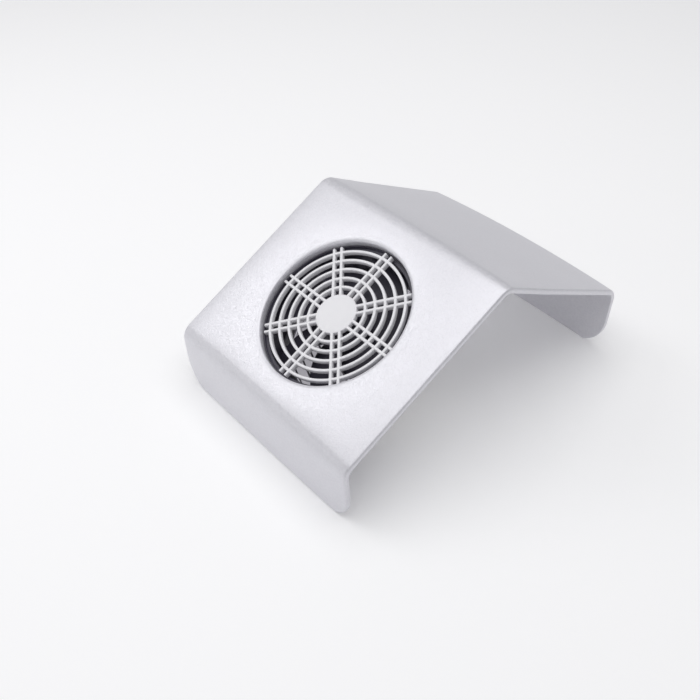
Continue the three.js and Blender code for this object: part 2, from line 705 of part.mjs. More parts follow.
// One ring of the bag, from its round mouth under the spigot (down = 0) to its flat base (down = 1).
function bagRing(down, inset) {
  const steps = 32;
  const base = new THREE.Vector3(-46, 0, BAG_FLOOR + inset);
  return Array.from({ length: steps }, (_, i) => {
    const angle = (-i * 2 * Math.PI) / steps;
    const [c, s] = [Math.cos(angle), Math.sin(angle)];
    const mouth = new THREE.Vector3((BAG_MOUTH - inset) * c, (BAG_MOUTH - inset) * s, BAG_TOP);
    mouth.applyMatrix4(deck.matrix);
    const foot = new THREE.Vector3((41 - inset) * c, (36 - inset) * s, 0).add(base);
    const point = mouth.lerp(foot, down);
    const bulge = 5 * Math.sin(Math.PI * down);
    return point.add(new THREE.Vector3(bulge * c, 0.4 * bulge * s, 0));
  });
}

function dustBag() {
  const stages = [0, 0.25, 0.5, 0.75, 0.92, 1];
  const outer = stages.map((down) => bagRing(down, 0));
  const inner = stages.map((down) => bagRing(down, BAG_SKIN));
  const middle = (ring, sag) => {
    const centre = ring.reduce((sum, p) => sum.add(p), new THREE.Vector3()).divideScalar(ring.length);
    centre.z -= sag;
    return ring.map(() => centre);
  };
  const last = stages.length - 1;
  return skin([middle(inner[last], 0.6), ...inner.reverse(), ...outer, middle(outer[last], 0.6)]);
}

deck.updateMatrix();
place("dust_bag", dustBag(), CLOTH, root);

export default root;
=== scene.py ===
"""Looks of the nail dust collector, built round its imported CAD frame.

Lengths are in millimetres until a mesh is made, and mesh_object turns them into metres. The deck frame
is the CAD one: its origin is the grille's centre on the front slope's outer face, +X points up the
slope, +Y to the far side and +Z out of the face.
"""

import json
import math

import bmesh
import bpy
import numpy as np
from mathutils import Matrix, Vector


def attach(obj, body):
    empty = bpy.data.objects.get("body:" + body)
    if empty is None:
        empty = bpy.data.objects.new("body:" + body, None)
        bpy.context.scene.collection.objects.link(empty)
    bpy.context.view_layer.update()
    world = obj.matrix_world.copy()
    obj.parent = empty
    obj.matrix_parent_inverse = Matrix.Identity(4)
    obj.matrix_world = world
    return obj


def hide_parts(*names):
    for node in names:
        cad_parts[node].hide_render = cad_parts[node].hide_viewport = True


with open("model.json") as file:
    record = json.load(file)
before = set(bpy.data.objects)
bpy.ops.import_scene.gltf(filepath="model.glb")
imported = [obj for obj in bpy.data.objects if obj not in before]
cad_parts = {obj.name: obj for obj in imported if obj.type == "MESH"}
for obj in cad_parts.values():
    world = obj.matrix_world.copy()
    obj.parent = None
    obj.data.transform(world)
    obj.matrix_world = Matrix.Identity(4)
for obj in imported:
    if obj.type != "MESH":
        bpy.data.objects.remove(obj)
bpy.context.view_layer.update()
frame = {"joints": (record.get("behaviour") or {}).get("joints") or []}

MM = 0.001

# ---------------------------------------------------------------- frame of the deck

spin = next(joint for joint in frame["joints"] if joint["name"] == "fan_spin")
FACE_NORMAL = Vector(spin["axis"]).normalized()
SPIN_DEPTH = 25
FRONT_SLOPE = math.atan2(-FACE_NORMAL.x, FACE_NORMAL.z)
DECK_ORIGIN = Vector(spin["pos_m"]) + FACE_NORMAL * SPIN_DEPTH * MM
DECK = Matrix.Translation(DECK_ORIGIN) @ Matrix.Rotation(-FRONT_SLOPE, 4, "Y")
DECK_MM = Matrix.Scale(1 / MM, 4) @ DECK @ Matrix.Scale(MM, 4)
WORLD = Matrix.Identity(4)

# ---------------------------------------------------------------- dimensions, as in the CAD part

LENGTH = 270
HALF_WIDTH = 95
HEIGHT = 120
SHEET = 4
BEND_RADIUS = 14
BACK_SLOPE = math.radians(28.4)
RIDGE_X = 9.4
FRONT_FOOT_X = -134.6
BACK_FOOT_X = 128.4
LEG_CORNER = 24
NEAR_FRONT_CORNER = 17

WELL_RADIUS = 57.5
WELL_DEPTH = 9.6
COLLAR_WALL = 2

GRILLE_TOP = -5.4
GRILLE_LOW = -9.4
BAR = 2.1
HUB_RADIUS = 15.6
RING_RADII = [21.8 + 7.43 * i for i in range(5)]
SPOKE_SPACING = 5.8
SPOKE_REACH = 55.9

FAN_TOP = -14.1
FAN_BOTTOM = FAN_TOP - 25
FAN_BORE = 57.6
FAN_SCREW = 52.5
SCREW_PLACES = [(x * FAN_SCREW, y * FAN_SCREW) for x, y in ((-1, -1), (1, -1), (1, 1), (-1, 1))]
MOTOR_FLOOR = FAN_BOTTOM + 2.2
BLADES = 7
BLADE_TIP = 56.2
HUB_CUP = 20.8
BLADE_SWEEP = (66, 30)  # degrees round the axis, at the hub and at the tip
IMPELLER_TURN = math.radians(8)

# ---------------------------------------------------------------- mesh tools


def mesh_object(name, parts, to=DECK, sharp=math.radians(32)):
    """One object from (points in millimetres, faces) parts, smooth except where faces meet sharply."""
    mesh = bpy.data.meshes.new(name)
    points = []
    faces = []
    for part_points, part_faces in parts:
        start = len(points)
        points += [tuple(p) for p in part_points]
        faces += [[start + i for i in face] for face in part_faces]
    mesh.from_pydata([Vector(p) * MM for p in points], [], faces)
    mesh.transform(to)
    work = bmesh.new()
    work.from_mesh(mesh)
    bmesh.ops.remove_doubles(work, verts=work.verts, dist=1e-6)
    bmesh.ops.dissolve_degenerate(work, edges=work.edges, dist=1e-7)
    bmesh.ops.recalc_face_normals(work, faces=work.faces)
    for face in work.faces:
        face.smooth = True
    for edge in work.edges:
        if len(edge.link_faces) == 2:
            edge.smooth = edge.calc_face_angle(0) < sharp
    work.to_mesh(mesh)
    work.free()
    piece = bpy.data.objects.new(name, mesh)
    bpy.context.scene.collection.objects.link(piece)
    return piece


def finished(piece, material, body, slot, *nodes):
    """Gives a piece its material and its body, and hides the CAD nodes that it stands for. The slot argument
    is not used.
    """
    piece.data.materials.append(material)
    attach(piece, body)
    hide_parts(*nodes)
    return piece


def bands(loops):
    """Four-sided faces between neighbouring closed loops of point numbers."""
    faces = []
    for a, b in zip(loops, loops[1:]):
        for j in range(len(a)):
            k = (j + 1) % len(a)
            faces.append([a[j], a[k], b[k], b[j]])
    return faces


def loft(loops, close=False):
    """A skin through loops of points. A closed loft joins its last loop to its first; others get caps."""
    count = len(loops[0])
    points = np.concatenate([np.asarray(loop, float) for loop in loops])
    numbers = [list(range(i * count, (i + 1) * count)) for i in range(len(loops))]
    if close:
        return points, bands(numbers + numbers[:1])
    return points, bands(numbers) + [numbers[0][::-1], numbers[-1]]


def circle(radius, z, angles):
    """Points round the Z axis; the radius and the height may vary from point to point."""
    return np.stack([radius * np.cos(angles), radius * np.sin(angles), np.zeros(len(angles)) + z], 1)


def around(count):
    return np.linspace(0, 2 * math.pi, count, endpoint=False)


def turned(outline, count=96):
    """A body turned about Z from a closed outline of (radius, z) points; the outline may touch the axis."""
    radii = [max(r, 1e-4) for r, _ in outline]
    loops = [circle(r, z, around(count)) for r, (_, z) in zip(radii, outline)]
    return loft(loops, close=True)


def soften(outline, radii, steps=4):
    """A closed outline with each corner rounded to its radius."""
    result = []
    for i, (corner, radius) in enumerate(zip(outline, radii)):
        corner = np.array(corner, float)
        if radius <= 0:
            result.append(tuple(corner))
            continue
        before = np.array(outline[i - 1], float) - corner
        after = np.array(outline[(i + 1) % len(outline)], float) - corner
        before_length, after_length = np.linalg.norm(before), np.linalg.norm(after)
        before, after = before / before_length, after / after_length
        half = math.acos(np.clip(before @ after, -1, 1)) / 2
        reach = min(radius / math.tan(half), 0.49 * before_length, 0.49 * after_length)
        bisector = (before + after) / np.linalg.norm(before + after)
        centre = corner + bisector * reach / math.cos(half)
        start, end = corner + before * reach - centre, corner + after * reach - centre
        turn = math.atan2(start[0] * end[1] - start[1] * end[0], start @ end)
        for step in range(steps + 1):
            c, s = math.cos(turn * step / steps), math.sin(turn * step / steps)
            x, y = c * start[0] - s * start[1], s * start[0] + c * start[1]
            result.append((centre[0] + x, centre[1] + y))
    return result


def turned_rectangle(inner, outer, low, high, top=0.4, bottom=0.3, count=128):
    corners = [(inner, low), (outer, low), (outer, high), (inner, high)]
    return turned(soften(corners, [bottom, bottom, top, top]), count)


def moved(part, matrix):
    points, faces = part
    return [matrix @ Vector(p) for p in points], faces


def turn(angle):
    return Matrix.Rotation(angle, 4, "Z")


def shift(x, y, z):
    return Matrix.Translation((x, y, z))


def beam(x0, x1, half_width, low, high, top=0.5):
    """A bar along X with rounded upper edges."""
    section = [(-half_width, low), (half_width, low), (half_width, high), (-half_width, high)]
    section = soften(section, [0.15, 0.15, top, top], 3)
    return loft([[(x, y, z) for y, z in section] for x in (x0, x1)])


# ---------------------------------------------------------------- materials


class Paint:
    """A principled material with small helpers to add procedural detail in object space, in metres."""

    def __init__(self, name, color, roughness, metallic=0.0, specular=0.5):
        self.material = bpy.data.materials.new(name)
        self.material.use_nodes = True
        self.tree = self.material.node_tree
        self.shader = self.tree.nodes["Principled BSDF"]
        self.set("Base Color", (*color, 1))
        self.set("Roughness", roughness)
        self.set("Metallic", metallic)
        self.set("Specular IOR Level", specular)
        self.place = self.tree.nodes.new("ShaderNodeTexCoord").outputs["Object"]
        self.bumps = None

    def set(self, socket, value):
        self.shader.inputs[socket].default_value = value

    def node(self, kind, **inputs):
        made = self.tree.nodes.new(kind)
        for name, value in inputs.items():
            socket = made.inputs[name.replace("_", " ")]
            if isinstance(value, bpy.types.NodeSocket):
                self.tree.links.new(value, socket)
            else:
                socket.default_value = value
        return made

    def noise(self, scale, detail=3.0, stretch=(1, 1, 1)):
        spread = self.node("ShaderNodeMapping", Vector=self.place, Scale=stretch)
        made = self.node("ShaderNodeTexNoise", Vector=spread.outputs[0], Scale=scale, Detail=detail)
        return made.outputs["Fac"]

    def cells(self, scale):
        return self.node("ShaderNodeTexVoronoi", Vector=self.place, Scale=scale)

    def span(self, value, low, high, start=0.0, stop=1.0):
        made = self.node("ShaderNodeMapRange", Value=value)
        made.inputs["From Min"].default_value = start
        made.inputs["From Max"].default_value = stop
        made.inputs["To Min"].default_value = low
        made.inputs["To Max"].default_value = high
        return made.outputs["Result"]

    def average(self, first, second):
        return self.node("ShaderNodeMix", Factor=0.5, A=first, B=second).outputs["Result"]

    def vary_color(self, value, first, second):
        mix = self.tree.nodes.new("ShaderNodeMix")
        mix.data_type = "RGBA"
        self.tree.links.new(value, mix.inputs["Factor"])
        mix.inputs["A"].default_value = (*first, 1)
        mix.inputs["B"].default_value = (*second, 1)
        self.tree.links.new(mix.outputs["Result"], self.shader.inputs["Base Color"])

    def vary(self, socket, value, low, high):
        self.tree.links.new(self.span(value, low, high), self.shader.inputs[socket])

    def bump(self, height, distance, strength=1.0):
        made = self.node("ShaderNodeBump", Height=height, Distance=distance, Strength=strength)
        if self.bumps is not None:
            self.tree.links.new(self.bumps, made.inputs["Normal"])
        self.bumps = made.outputs["Normal"]
        self.tree.links.new(self.bumps, self.shader.inputs["Normal"])


def pearl():
    """Pearl plastic: fine flakes, each with its own tilt, gloss and shade, under a soft clear coat."""
    paint = Paint("pearl_plastic", (0.75, 0.745, 0.785), 0.4)
    flake = paint.cells(800)
    shade = paint.average(paint.noise(9, 4), flake.outputs["Color"])
    paint.vary_color(shade, (0.69, 0.685, 0.73), (0.81, 0.805, 0.84))
    paint.vary("Roughness", flake.outputs["Color"], 0.32, 0.5)
    paint.set("Metallic", 0.45)
    paint.bump(flake.outputs["Color"], 0.00014, 0.6)
    paint.bump(paint.noise(1500, 2), 0.00003, 0.35)
    paint.set("Coat Weight", 0.15)
    paint.set("Coat Roughness", 0.35)
    return paint.material


def grille_white():
    paint = Paint("grille_plastic", (0.84, 0.835, 0.855), 0.38)
    paint.vary_color(paint.noise(60, 3), (0.81, 0.805, 0.83), (0.86, 0.855, 0.875))
    paint.bump(paint.noise(1800, 2), 0.00002, 0.3)
    return paint.material


def fan_black():
    paint = Paint("fan_plastic", (0.062, 0.058, 0.08), 0.42)
    paint.vary_color(paint.noise(120, 4), (0.053, 0.049, 0.07), (0.072, 0.067, 0.092))
    paint.vary("Roughness", paint.noise(300, 3), 0.34, 0.55)
    paint.bump(paint.noise(2200, 2), 0.00003, 0.4)
    return paint.material


def moulded_grey(name, color, darker, lighter):
    paint = Paint(name, color, 0.5)
    paint.vary_color(paint.noise(40, 4), darker, lighter)
    paint.vary("Roughness", paint.noise(500, 3), 0.42, 0.6)
    paint.bump(paint.noise(2600, 3), 0.00005, 0.5)
    return paint


def tray_grey():
    darker, lighter = (0.59, 0.585, 0.62), (0.65, 0.645, 0.675)
    return moulded_grey("tray_plastic", (0.62, 0.615, 0.65), darker, lighter).material


def guard_grey_painted_light():
    """The tray's grey plastic, painted lighter and given a painted glow on its upward faces, both standing
    for the light that falls through the fan onto it.
    """
    # painted light: this grey is lighter than the tray's to stand for light reaching the guard
    paint = moulded_grey("guard_plastic_painted_light", (0.7, 0.69, 0.72), (0.66, 0.65, 0.68), (0.73, 0.72, 0.75))
    normal = paint.node("ShaderNodeNewGeometry").outputs["Normal"]
    upward = paint.node("ShaderNodeVectorMath", Vector=normal)
    upward.operation = "DOT_PRODUCT"
    upward.inputs[1].default_value = FACE_NORMAL
    # painted light: faces turned up along the deck's normal glow, standing for light that comes through the
    # fan
    painted_glow = paint.span(upward.outputs["Value"], 0, 0.34, 0.3, 0.8)
    paint.tree.links.new(painted_glow, paint.shader.inputs["Emission Strength"])
    paint.set("Emission Color", (0.9, 0.88, 0.95, 1))
    return paint.material


def plastic(name, color, roughness, grain=2000, spread=0.06):
    """A plain moulded plastic with a fine grain, uneven gloss and slightly uneven colour."""
    paint = Paint(name, color, roughness)
    darker = [c * (1 - spread) for c in color]
    lighter = [min(c * (1 + spread), 1) for c in color]
    paint.vary_color(paint.noise(70, 4), darker, lighter)
    paint.vary("Roughness", paint.noise(400, 3), roughness - 0.07, roughness + 0.08)
    paint.bump(paint.noise(grain, 2), 0.00003, 0.4)
    return paint.material


def steel():
    paint = Paint("steel", (0.62, 0.62, 0.64), 0.28, metallic=1)
    paint.vary_color(paint.noise(900, 3), (0.56, 0.56, 0.585), (0.68, 0.68, 0.69))
    paint.vary("Roughness", paint.noise(2500, 3), 0.2, 0.38)
    paint.bump(paint.noise(4000, 2), 0.00002, 0.3)
    return paint.material


def copper():
    """Varnished windings: fine turns side by side."""
    paint = Paint("copper", (0.72, 0.34, 0.14), 0.3, metallic=1)
    paint.set("Coat Weight", 0.5)
    turns = paint.node("ShaderNodeTexWave", Vector=paint.place, Scale=700.0, Distortion=0.4)
    turns.bands_direction = "Z"
    paint.vary_color(turns.outputs["Fac"], (0.42, 0.16, 0.06), (0.78, 0.4, 0.19))
    paint.bump(turns.outputs["Fac"], 0.00012, 0.8)
    return paint.material


def lamination():
    """Stacked sheets of electrical steel."""
    paint = Paint("lamination", (0.3, 0.31, 0.33), 0.45, metallic=0.8)
    sheets = paint.node("ShaderNodeTexWave", Vector=paint.place, Scale=600.0)
    sheets.bands_direction = "Z"
    paint.vary_color(sheets.outputs["Fac"], (0.2, 0.205, 0.22), (0.36, 0.37, 0.39))
    paint.bump(sheets.outputs["Fac"], 0.0001, 0.5)
    return paint.material


def brass():
    paint = Paint("brass", (0.78, 0.6, 0.28), 0.3, metallic=1)
    paint.vary_color(paint.noise(500, 3), (0.7, 0.53, 0.23), (0.82, 0.65, 0.33))
    paint.vary("Roughness", paint.noise(1500, 3), 0.22, 0.42)
    return paint.material


def foam():
    paint = Paint("foam", (0.05, 0.05, 0.055), 0.95, specular=0.2)
    cells = paint.cells(1400)
    paint.vary_color(cells.outputs["Distance"], (0.075, 0.075, 0.08), (0.03, 0.03, 0.034))
    paint.bump(cells.outputs["Distance"], 0.0003, 0.9)
    return paint.material


def cloth(name, threads, color=(0.86, 0.855, 0.84)):
    """Non-woven white cloth: a soft sheen over crossing threads and a fuzz of fibres."""
    paint = Paint(name, color, 0.85, specular=0.2)
    paint.set("Sheen Weight", 0.35)
    paint.set("Sheen Roughness", 0.5)
    darker = [c * 0.94 for c in color]
    lighter = [min(c * 1.04, 0.95) for c in color]
    paint.vary_color(paint.noise(45, 5), darker, lighter)
    for direction in ("X", "Y", "Z"):
        weave = paint.node("ShaderNodeTexWave", Vector=paint.place, Scale=float(threads), Distortion=0.6)
        weave.bands_direction = direction
        paint.bump(weave.outputs["Fac"], 0.00012, 0.35)
    paint.bump(paint.noise(1500, 5), 0.0002, 0.5)
    return paint.material


PEARL = pearl()
GRILLE_WHITE = grille_white()
FAN_BLACK = fan_black()
TRAY_GREY = tray_grey()
GUARD_GREY_PAINTED_LIGHT = guard_grey_painted_light()
SWITCH_BLACK = plastic("switch_plastic", (0.022, 0.022, 0.025), 0.35)
MARK_WHITE = plastic("switch_marks", (0.8, 0.8, 0.8), 0.45)
BAG_CLOTH = cloth("bag_cloth", 500)
HEM_CLOTH = cloth("elastic_hem", 350, (0.82, 0.815, 0.8))
STEEL = steel()

# ---------------------------------------------------------------- top shell


class Section:
    """The shell's outer line in the XZ plane, by the distance along it from the front foot."""

    def __init__(self):
        ridge = np.array([RIDGE_X, HEIGHT - BEND_RADIUS])
        bend_x = LENGTH / 2 - BEND_RADIUS
        front = np.array([-bend_x, ridge[1] - (RIDGE_X + bend_x) * math.tan(FRONT_SLOPE)])
        back = np.array([bend_x, ridge[1] - (bend_x - RIDGE_X) * math.tan(BACK_SLOPE)])
        front_leg = self.leg(FRONT_FOOT_X, front, 1)
        back_leg = self.leg(BACK_FOOT_X, back, -1)
        rises = [front_leg, FRONT_SLOPE, -BACK_SLOPE, back_leg - math.pi]
        normals = [rise + math.pi / 2 for rise in rises]
        self.pieces = []
        at = np.array([FRONT_FOOT_X, 0.0])
        start = 0.0
        for i, centre in enumerate((front, ridge, back)):
            touch = centre + BEND_RADIUS * self.direction(normals[i])
            start = self.add("line", start, np.linalg.norm(touch - at), at, normals[i])
            turned_by = normals[i] - normals[i + 1]
            start = self.add("arc", start, BEND_RADIUS * turned_by, centre, normals[i])
            at = centre + BEND_RADIUS * self.direction(normals[i + 1])
        start = self.add("line", start, np.linalg.norm(np.array([BACK_FOOT_X, 0.0]) - at), at, normals[3])
        self.length = start
        self.starts = [piece[1] for piece in self.pieces]

    @staticmethod
    def direction(angle):
        return np.array([math.cos(angle), math.sin(angle)])

    @staticmethod
    def leg(foot_x, bend, side):
        to_bend = bend - np.array([foot_x, 0.0])
        return math.atan2(to_bend[1], to_bend[0]) + side * math.asin(BEND_RADIUS / np.linalg.norm(to_bend))

    def add(self, kind, start, length, at, normal):
        self.pieces.append((kind, start, length, at, normal))
        return start + length

    def point(self, s):
        """(point, outward normal) at distance s; beyond either end the legs run on straight."""
        index = max(0, int(np.searchsorted(self.starts, s, side="right")) - 1)
        kind, start, _, at, normal = self.pieces[index]
        if kind == "arc":
            out = self.direction(normal - (s - start) / BEND_RADIUS)
            return at + BEND_RADIUS * out, out
        out = self.direction(normal)
        along = np.array([out[1], -out[0]])
        return at + along * (s - start), out


SECTION = Section()
HOLE = 57.9  # the flat mesh's hole, from which the rim turns down into the well
PATCH = 66  # half the side of the square in which the mesh turns from rows into circles
PATCH_CELLS = 48  # along each side of that square
PATCH_RINGS = 22
EDGE = 1.7  # radius of the sheet's outer edges
LOWER_EDGE = 0.8
EASE_SHIFT = 3  # how far the eased stretch lies from the front bend's middle, towards the leg


def deck_distance():
    """The distance along the section at which the grille's centre lies."""
    _, start, _, at, normal = SECTION.pieces[2]
    out = SECTION.direction(normal)
    along = np.array([out[1], -out[0]])
    centre = np.array([DECK_ORIGIN.x, DECK_ORIGIN.z]) / MM
    return start + (centre - at) @ along


GRILLE_S = deck_distance()


def dip(r):
    """How far the face sinks towards the well: a broad soft dish and a tight rim."""
    away = np.maximum(r - WELL_RADIUS, 0)
    return 1.3 * np.exp(-away / 1.2) + 0.9 * np.exp(-((away / 11) ** 2))


def crown(s, y):
    """How far the sheet's long edges roll down below its middle: more behind the ridge than in front."""
    behind = np.clip((s - SECTION.starts[3]) / 50, 0, 1)
    across = abs(y / HALF_WIDTH)
    return (1 - behind) * (0.5 * across**3 + 1.6 * across**9) + behind * 2.8 * across**2


def pressed(s, middle, depth, spread):
    return depth * math.exp(-(((s - middle) / spread) ** 2))


def easing(s, y, r):
    """How far the sheet is pressed in at its front bend and its ridge, which widens both bends."""
    front, ridge = ((SECTION.starts[i] + SECTION.starts[i + 1]) / 2 for i in (1, 3))
    depth = pressed(s, front - EASE_SHIFT, 1.5, 11) + pressed(s, ridge, 0.4, 14)
    clear_of_rim = min(max((r - HOLE) / 14, 0), 1) ** 2
    return depth * clear_of_rim * (1 - abs(y / HALF_WIDTH) ** 5)


def half_width(s, side):
    """Half the sheet's width at distance s on the near (-1) or far (1) side, rounded at each foot."""
    near_front = side < 0 and s < SECTION.length / 2
    corner = NEAR_FRONT_CORNER if near_front else LEG_CORNER
    rise = max(corner - min(s, SECTION.length - s), 0)
    return HALF_WIDTH - corner + math.sqrt(max(corner**2 - rise**2, 0))


def on_sheet(s, y, depth=0.0):
    """A point of the shell at distance s along the section and y across it, depth below its outer face."""
    at, out = SECTION.point(s)
    r = math.hypot(s - GRILLE_S, y)
    inward = depth + crown(s, y) + float(dip(r)) + easing(s, y, r)
    x, z = at - out * inward
    return x, y, max(z, 0)


def graded(start, stop, count, dense=None):
    """Values from start to stop, packed closer at the end named."""
    t = np.linspace(0, 1, count + 1)
    if dense == "start":
        t = 1 - np.cos(math.pi / 2 * t)
    elif dense == "stop":
        t = np.sin(math.pi / 2 * t)
    return start + (stop - start) * t


def sheet_rows():
    marks = SECTION.starts
    rows = [
        graded(EDGE, marks[1], 16, "start"),
        graded(marks[1], marks[2], 14),
        graded(marks[2], GRILLE_S - PATCH, 2),
        graded(GRILLE_S - PATCH, GRILLE_S + PATCH, PATCH_CELLS),
        graded(GRILLE_S + PATCH, marks[3], 4),
        graded(marks[3], marks[4], 16),
        graded(marks[4], marks[5], 40),
        graded(marks[5], marks[6], 14),
        graded(marks[6], SECTION.length - EDGE, 16, "stop"),
    ]
    return np.unique(np.round(np.concatenate(rows), 6))


def sheet_columns():
    outer = graded(PATCH, HALF_WIDTH - EDGE, 12, "stop")
    middle = graded(-PATCH, PATCH, PATCH_CELLS)
    return np.unique(np.round(np.concatenate([-outer, middle, outer]), 6))


class FlatSheet:
    """The sheet laid flat in (s, y), with the hole for the grille: its points, faces and two edge loops."""

    def __init__(self):
        self.rows, self.columns = sheet_rows(), sheet_columns()
        self.points, self.faces = [], []
        self.grid = {}
        low, high = GRILLE_S - PATCH, GRILLE_S + PATCH
        patch_rows = [i for i, s in enumerate(self.rows) if low - 1e-3 < s < high + 1e-3]
        patch_columns = [j for j, y in enumerate(self.columns) if abs(y) < PATCH + 1e-3]
        inner_rows, inner_columns = set(patch_rows[1:-1]), set(patch_columns[1:-1])
        for i, s in enumerate(self.rows):
            for j, y in enumerate(self.columns):
                if i not in inner_rows or j not in inner_columns:
                    narrowing = (half_width(s, np.sign(y)) - EDGE) / (HALF_WIDTH - EDGE)
                    self.grid[i, j] = self.add(s, y * narrowing)
        skipped = {(i, j) for i in patch_rows[:-1] for j in patch_columns[:-1]}
        for i in range(len(self.rows) - 1):
            for j in range(len(self.columns) - 1):
                if (i, j) not in skipped:
                    corners = [(i, j), (i, j + 1), (i + 1, j + 1), (i + 1, j)]
                    self.faces.append([self.grid[c] for c in corners])
        self.inside = self.fill_patch(patch_rows, patch_columns)
        self.outside = self.walk_outside()

    def add(self, s, y):
        self.points.append((s, y))
        return len(self.points) - 1

    def fill_patch(self, rows, columns):
        """Rings that turn from the square round the grille into the hole's circle; returns the last."""
        first, last = rows[0], rows[-1]
        left, right = columns[0], columns[-1]
        ring = [self.grid[i, left] for i in rows[:-1]]
        ring += [self.grid[last, j] for j in columns[:-1]]
        ring += [self.grid[i, right] for i in rows[:0:-1]]
        ring += [self.grid[first, j] for j in columns[:0:-1]]
        steps = 1 - (1 - np.linspace(0, 1, PATCH_RINGS + 1)) ** 1.9
        circles = [ring]
        for t in steps[1:]:
            loop = []
            for k in ring:
                s, y = self.points[k]
                angle = self.even_angle(s - GRILLE_S, y)
                rim = np.array([GRILLE_S + HOLE * math.cos(angle), HOLE * math.sin(angle)])
                mixed = (1 - t) * np.array([s, y]) + t * rim
                loop.append(self.add(*mixed))
            circles.append(loop)
        self.faces += bands(circles)
        return circles[-1]

    @staticmethod
    def even_angle(x, y):
        """The angle on the circle for a point on the square's edge, spread evenly along each side."""
        if abs(x) >= abs(y):
            quarter, across = (0.0, y / abs(x)) if x > 0 else (math.pi, -y / abs(x))
        else:
            quarter, across = (math.pi / 2, -x / abs(y)) if y > 0 else (-math.pi / 2, x / abs(y))
        blend = 0.5 * across + 0.5 * math.atan(across) / (math.pi / 4)
        return quarter + blend * math.pi / 4

    def walk_outside(self):
        last_row, last_column = len(self.rows) - 1, len(self.columns) - 1
        loop = [(0, j) for j in range(last_column)]
        loop += [(i, last_column) for i in range(last_row)]
        loop += [(last_row, j) for j in range(last_column, 0, -1)]
        loop += [(i, 0) for i in range(last_row, 0, -1)]
        return [self.grid[c] for c in loop]

    def outward(self, k):
        """The flat sheet's outside point number k, and the direction straight away from the sheet there."""
        loop = self.outside
        around_here = [loop[k - 1], loop[k], loop[(k + 1) % len(loop)]]
        before, here, after = (np.array(self.points[n]) for n in around_here)
        ahead, behind = after - here, here - before
        tangent = ahead / max(np.linalg.norm(ahead), 1e-9) + behind / max(np.linalg.norm(behind), 1e-9)
        away = np.array([-tangent[1], tangent[0]])
        return here, away / np.linalg.norm(away)


def edge_section():
    """The sheet's outer edge as (distance out, depth): a fillet, a narrow band and a smaller fillet."""
    angles = [math.pi / 2 * i / 5 for i in range(6)]
    section = [(EDGE * math.sin(a), EDGE * (1 - math.cos(a))) for a in angles[1:]]
    for a in angles:
        section.append((EDGE - LOWER_EDGE * (1 - math.cos(a)), SHEET - LOWER_EDGE * (1 - math.sin(a))))
    return section


def well_section():
    """The well's wall, the collar's lower edge and its outside, back up to the sheet, as (radius, z)."""
    rim = -float(dip(HOLE)) - crown(GRILLE_S, 0)
    collar = WELL_RADIUS + COLLAR_WALL
    low = -WELL_DEPTH
    section = [(HOLE - 0.28, rim - 0.5), (WELL_RADIUS, rim - 1.3), (WELL_RADIUS, -6.0)]
    section += [(WELL_RADIUS, low + 0.5), (WELL_RADIUS + 0.5, low), (collar - 0.5, low)]
    section += [(collar, low + 0.5), (collar, -SHEET - 1.6), (collar + 0.5, -SHEET - 1.0)]
    return section


def top_shell():
    flat = FlatSheet()
    count = len(flat.points)
    points = [on_sheet(s, y) for s, y in flat.points]
    points += [on_sheet(s, y, SHEET) for s, y in flat.points]
    faces = flat.faces + [[k + count for k in face[::-1]] for face in flat.faces]

    def added(new_points):
        start = len(points)
        points.extend(new_points)
        return list(range(start, len(points)))

    places = [flat.outward(k) for k in range(len(flat.outside))]
    edge = [flat.outside]
    for out, depth in edge_section():
        edge.append(added([on_sheet(*(here + away * out), depth) for here, away in places]))
    edge.append([k + count for k in flat.outside])

    angles = np.array([math.atan2(flat.points[k][1], flat.points[k][0] - GRILLE_S) for k in flat.inside])
    well = [flat.inside]
    for radius, z in well_section():
        well.append(added(moved((circle(radius, z, angles), []), DECK_MM)[0]))
    well.append([k + count for k in flat.inside])

    faces += bands(edge) + bands(well)
    piece = mesh_object("shell_skin", [(points, faces), *shell_bosses()], WORLD, math.radians(50))
    finished(piece, PEARL, "base", "pearl_plastic", "top_shell")


def shell_bosses():
    """The screw bosses under the sheet, each with a foot that flares into it."""
    outline = [(2.2, -6.2), (2.2, FAN_TOP + 0.7), (2.6, FAN_TOP + 0.3), (4.4, FAN_TOP + 0.3)]
    outline += [(4.8, FAN_TOP + 0.7), (4.8, -6.5), (5.4, -5.2), (6.6, -4.4)]
    outline += [(6.6, -3.0), (0, -3.0), (0, -6.2)]
    boss = turned(outline, 40)
    return [moved(boss, DECK_MM @ shift(x, y, 0)) for x, y in SCREW_PLACES]


top_shell()

# ---------------------------------------------------------------- intake grille


def intake_grille():
    face = GRILLE_TOP + 0.05
    hub = [(0, GRILLE_LOW), (HUB_RADIUS, GRILLE_LOW), (HUB_RADIUS, face), (0, face)]
    parts = [turned(soften(hub, [0, 0.2, 0.7, 0]))]
    ring_top = GRILLE_TOP - 0.05
    for radius in RING_RADII:
        parts.append(turned_rectangle(radius - BAR / 2, radius + BAR / 2, GRILLE_LOW, ring_top, 0.6))
    for i in range(4):
        for side in (-1, 1):
            bar = beam(-SPOKE_REACH, SPOKE_REACH, BAR / 2, GRILLE_LOW, GRILLE_TOP, 0.6)
            parts.append(moved(moved(bar, shift(0, side * SPOKE_SPACING / 2, 0)), turn(i * math.pi / 4)))
    finished(mesh_object("grille", parts), GRILLE_WHITE, "base", "grille_plastic", "intake_grille")


def grille_seat():
    """The black ring round the well, on whose ledge the spokes' ends lie."""
    low, flange, ledge, top = -11.5, -9.9, GRILLE_LOW - 0.3, -7.4
    outline = [(54.2, low), (59.8, low), (59.8, flange), (57.2, flange)]
    outline += [(57.2, top), (56.5, top), (56.5, ledge), (54.2, ledge)]
    ring = turned(soften(outline, [0.2, 0.3, 0.3, 0.1, 0.2, 0.2, 0.2, 0.4]), 160)
    finished(mesh_object("seat_ring", [ring]), FAN_BLACK, "base", "fan_plastic", "grille_seat")


intake_grille()
grille_seat()

# ---------------------------------------------------------------- fan


